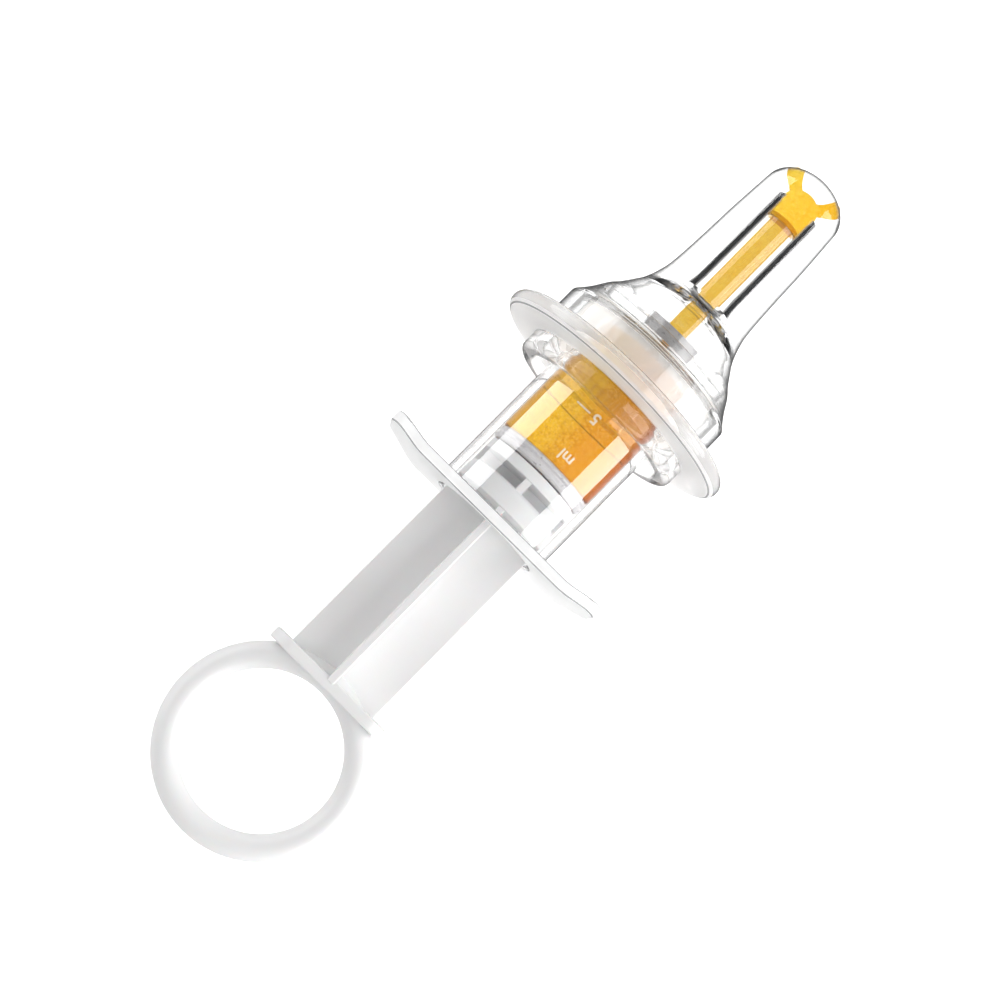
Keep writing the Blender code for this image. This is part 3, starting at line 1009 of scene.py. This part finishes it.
def touches_liquid(face):
    """The rounded end of the teat's bore, and the walls of the two slanted channels."""
    start = Vector((0, 0, TEAT_BORE_END - TEAT_BORE))
    if face.center.z > start.z and (face.center - start).length < TEAT_BORE + 0.05 * MM:
        return True
    along = Vector((math.sin(CHANNEL_ANGLE), 0, math.cos(CHANNEL_ANGLE)))
    place = Vector((abs(face.center.x), face.center.y, face.center.z - CHANNEL_ROOT))
    return (place - along * place.dot(along)).length < CHANNEL_RADIUS + 0.02 * MM


def make_nozzle():
    outline = filleted(
        [
            (TUBE_BORE, TUBE_TOP, 0.1 * MM),
            (TUBE_RADIUS, TUBE_TOP, 0.2 * MM),
            (TUBE_RADIUS, BOSS_TOP, 0.3 * MM),
            (BOSS_RADIUS, BOSS_TOP, 0.35 * MM),
            (BOSS_RADIUS, NOZZLE_HUB_TOP, 0.2 * MM),
            (NOZZLE_HUB_RADIUS, NOZZLE_HUB_TOP, 0.2 * MM),
            (NOZZLE_HUB_RADIUS, NOZZLE_FLANGE_TOP, 0.3 * MM),
            (NOZZLE_FLANGE_RADIUS, NOZZLE_FLANGE_TOP, 0.3 * MM),
            (NOZZLE_FLANGE_RADIUS, NOZZLE_BACK, 0.2 * MM),
            (POCKET_RADIUS, NOZZLE_BACK, 0.2 * MM),
            (POCKET_RADIUS, POCKET_TOP, 0.2 * MM),
            (TUBE_BORE, POCKET_TOP, 0.1 * MM),
        ]
    )
    mesh = turned("nozzle_tube", outline, SMALL_TURNS)
    tube = show("nozzle_tube", mesh, "cap", nozzle_look(), "nozzle_insert")
    extra_look(tube, wet_look(), in_nozzle_bore)
    even_normals(tube)


def in_nozzle_bore(face):
    return math.hypot(face.center.x, face.center.y) < TUBE_BORE + 0.05 * MM


def make_nozzle_seal(look):
    outline = filleted(
        [
            (GROMMET_MOUTH, GROMMET_TOP, 0.15 * MM),
            (GROMMET_RADIUS, GROMMET_TOP, 0.15 * MM),
            (GROMMET_RADIUS, GROMMET_BACK, 0.3 * MM),
            (GROMMET_BORE, GROMMET_BACK, 0.15 * MM),
            (GROMMET_BORE, GROMMET_MOUTH_START, 0.3 * MM),
        ]
    )
    mesh = turned("grommet", outline, SMALL_TURNS)
    even_normals(show("grommet", mesh, "cap", look, "nozzle_seal"))


# ---------------------------------------------------------------- liquid and marks


def make_dose(look):
    """The liquid in the bore, from the seal's front to the bore's end wall."""
    radius = BORE_RADIUS - FILM
    back = SEAL_TOP + FILM
    front = BORE_TOP - FRONT_FILM
    outline = filleted(
        [
            (0.1 * MM, front, 0),
            (radius, front, 0.35 * MM),
            (radius, back, 0.2 * MM),
            (0.1 * MM, back, 0),
        ],
        closed=False,
    )
    dose = show("dose", turned("dose", outline, closed=False), "barrel", look)
    even_normals(dose)
    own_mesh(dose)


def make_spigot_liquid(look):
    radius = SPIGOT_BORE - 0.05 * MM
    outline = filleted(
        [
            (0.05 * MM, SPIGOT_TOP, 0),
            (radius, SPIGOT_TOP, 0.1 * MM),
            (radius, BORE_TOP + FILM, 0.1 * MM),
            (0.05 * MM, BORE_TOP + FILM, 0),
        ],
        closed=False,
    )
    mesh = turned("spigot_liquid", outline, 48, closed=False)
    show("spigot_liquid", mesh, "barrel", look)


def make_core(look):
    """Liquid in the nozzle's bore, with the bulb above it and the two outlet channels."""
    radius = TUBE_BORE - 0.1 * MM
    bulb = [
        (
            BULB_RADIUS * math.cos(math.radians(angle)),
            BULB_TOP - BULB_RADIUS + BULB_RADIUS * math.sin(math.radians(angle)),
        )
        for angle in range(86, -1, -8)
    ]
    stem = filleted(
        [
            (BULB_RADIUS, BULB_TOP - BULB_RADIUS, 0),
            (BULB_RADIUS, BULB_BACK, 0.1 * MM),
            (TUBE_RADIUS + 0.05 * MM, BULB_BACK, 0.05 * MM),
            (TUBE_RADIUS + 0.05 * MM, TUBE_TOP + FILM, 0.05 * MM),
            (radius, TUBE_TOP + FILM, 0.1 * MM),
            (radius, GROMMET_TOP - MM, 0.2 * MM),
            (0.05 * MM, GROMMET_TOP - MM, 0),
        ],
        closed=False,
    )
    solid = turned("core", bulb + stem[1:], SMALL_TURNS, closed=False)
    reach = (TEAT_TIP - CHANNEL_ROOT) * 1.16
    arms = [channel_mesh(side, CHANNEL_RADIUS - 0.03 * MM, 0.0, reach) for side in (-1, 1)]
    mesh = combined("core", solid, arms, "UNION")
    show("core", mesh, "cap", look)


def wrapped_text(name, text, height, x, station):
    """Raised letters on the barrel's upper side, read with the nipple pointing down."""
    curve = bpy.data.curves.new(name, "FONT")
    curve.body = text
    curve.size = height
    curve.align_x = "CENTER"
    curve.align_y = "CENTER"
    curve.extrude = MARK_RELIEF / 2
    curve.bevel_depth = 0.02 * MM
    curve.offset = 0.04 * MM
    curve.resolution_u = 6
    source = bpy.data.objects.new(name, curve)
    bpy.context.scene.collection.objects.link(source)
    bpy.context.view_layer.update()
    mesh = bpy.data.meshes.new_from_object(
        source.evaluated_get(bpy.context.evaluated_depsgraph_get())
    )
    bpy.data.objects.remove(source, do_unlink=True)
    wrap(mesh, x, station)
    return mesh


def wrap(mesh, x, station):
    """Bends a flat shape round the barrel: its X runs round, and its Y runs back from the nipple."""
    surface = BARREL_RADIUS + MARK_RELIEF / 2 + 0.03 * MM
    for vertex in mesh.vertices:
        flat_x, flat_y, lift = vertex.co
        angle = (x + flat_x) / BARREL_RADIUS
        radius = surface + lift
        vertex.co = (radius * math.sin(angle), radius * math.cos(angle), station - flat_y)
    mesh.flip_normals()


def make_marks():
    look = mark_look()
    digit = wrapped_text("mark_five", "5", DIGIT_HEIGHT, -0.6 * MM, DIGIT_STATION)
    unit = wrapped_text("mark_unit", "ml", DIGIT_HEIGHT, -1.5 * MM, UNIT_STATION)
    tick = prism(
        "mark_tick",
        rounded_outline(1.45 * MM, 0.16 * MM, 0.1 * MM, 4),
        -MARK_RELIEF / 2,
        MARK_RELIEF / 2,
        0.03 * MM,
    )
    wrap(tick, 2.1 * MM, DIGIT_STATION)
    for mesh in (digit, unit, tick):
        show(mesh.name, mesh, "barrel", look)


# ---------------------------------------------------------------- camera, floor and light


def make_camera():
    towards = -math.sin(AXIS_TILT) * AXIS + math.cos(AXIS_TILT) * UP
    along = math.cos(AXIS_TILT) * AXIS + math.sin(AXIS_TILT) * UP
    right = math.cos(AXIS_ROLL) * along - math.sin(AXIS_ROLL) * SIDE
    above = math.sin(AXIS_ROLL) * along + math.cos(AXIS_ROLL) * SIDE
    aim = PLACE @ Vector((0, 0, AIM_STATION))
    centre = aim + AIM_OFFSET * (above - right)
    camera = bpy.data.objects.new("camera", bpy.data.cameras.new("camera"))
    camera.data.lens = CAMERA_LENS
    camera.data.sensor_width = CAMERA_SENSOR
    camera.data.clip_start = 0.01
    bpy.context.scene.collection.objects.link(camera)
    turn = Matrix((right, above, towards)).transposed().to_4x4()
    camera.matrix_world = Matrix.Translation(centre + CAMERA_DISTANCE * towards) @ turn
    bpy.context.scene.camera = camera


def make_floor():
    """A light table: pale, evenly lit from below, and wider than any view of the object."""
    mesh = bpy.data.meshes.new("floor")
    shape = bmesh.new()
    bmesh.ops.create_circle(shape, cap_ends=True, segments=96, radius=FLOOR_RADIUS)
    shape.to_mesh(mesh)
    shape.free()
    floor = bpy.data.objects.new("floor", mesh)
    bpy.context.scene.collection.objects.link(floor)
    look = Look(
        "pale_floor",
        FLOOR_NEAR,
        0.85,
        Specular_IOR_Level=0.1,
        Emission_Color=WHITE,
    )
    away = look.between(look.radius(), FLOOR_LIT, FLOOR_DIM)
    look.wire(look.mix(away, FLOOR_NEAR, FLOOR_FAR), "Base Color")
    look.wire(look.ramp(away, FLOOR_GLOW, 0.0), "Emission Strength")
    mesh.materials.append(look.material)
    floor.visible_glossy = False


def softbox(name, side, low, high, lift, radiance):
    """Long lamp parallel to the dropper, on its left (+Y) or right side, facing its axis."""
    middle = (low + high) / 2
    place = Vector((0.0, side * SOFTBOX_REACH, middle))
    lamp = bpy.data.lights.new(name, "AREA")
    lamp.shape = "RECTANGLE"
    lamp.size = SOFTBOX_LENGTH
    lamp.size_y = high - low
    lamp.energy = radiance * math.pi * lamp.size * lamp.size_y
    thing = bpy.data.objects.new(name, lamp)
    thing.location = place + Vector((0.0, 0.0, lift))
    thing.rotation_mode = "QUATERNION"
    aim = Vector((0.0, 0.0, AXIS_HEIGHT)) - thing.location
    thing.rotation_quaternion = aim.to_track_quat("-Z", "Y")
    thing.visible_camera = False
    bpy.context.scene.collection.objects.link(thing)
    return thing


def make_strips():
    """Two bright strips that only show as reflections: the pale bands down the barrel."""
    for name, side, radiance in (("left_strip", 1, LEFT_STRIP), ("right_strip", -1, RIGHT_STRIP)):
        strip = softbox(name, side, STRIP_LOW, STRIP_HIGH, 0.0, radiance)
        strip.visible_diffuse = False
        strip.visible_transmission = False


def make_fills():
    """Soft lamps that shape the white plunger, brighter from the right."""
    for name, side, radiance in (("left_fill", 1, LEFT_FILL), ("right_fill", -1, RIGHT_FILL)):
        fill = softbox(name, side, STRIP_LOW, STRIP_HIGH, FILL_LIFT, radiance)
        fill.visible_glossy = False
    key = softbox("right_key", -1, 0.0, KEY_WIDTH, KEY_LIFT, KEY)
    key.visible_glossy = False


def make_sky():
    """Pale horizon, a slightly darker band above it that draws the outlines, pale overhead."""
    world = bpy.data.worlds.new("studio")
    bpy.context.scene.world = world
    world.use_nodes = True
    nodes = world.node_tree.nodes
    links = world.node_tree.links
    direction = nodes.new("ShaderNodeTexCoord")
    split = nodes.new("ShaderNodeSeparateXYZ")
    ramp = nodes.new("ShaderNodeValToRGB")
    links.new(direction.outputs["Generated"], split.inputs["Vector"])
    links.new(split.outputs["Z"], ramp.inputs["Fac"])
    links.new(ramp.outputs["Color"], nodes["Background"].inputs["Color"])
    stops = ramp.color_ramp.elements
    for index, (height, shade) in enumerate(SKY):
        stop = stops[index] if index < 2 else stops.new(height)
        stop.position = height
        stop.color = (shade, shade, shade, 1.0)


def make_light():
    make_sky()
    make_strips()
    make_fills()


def make_settings():
    scene = bpy.context.scene
    scene.view_settings.view_transform = "Standard"
    scene.cycles.max_bounces = BOUNCES
    scene.cycles.transmission_bounces = BOUNCES


make_camera()
make_floor()
make_light()
make_settings()
pale_silicone = pale_silicone_look()
dose_liquid = liquid_look("dose_liquid", *DOSE_COLOURS)
thin_liquid = liquid_look("thin_liquid", *THIN_COLOURS)
make_barrel()
make_plunger()
make_piston_seal(pale_silicone)
make_mouth_shield()
make_nipple()
make_nozzle()
make_nozzle_seal(pale_silicone)
make_dose(dose_liquid)
make_spigot_liquid(dose_liquid)
make_core(thin_liquid)
make_marks()
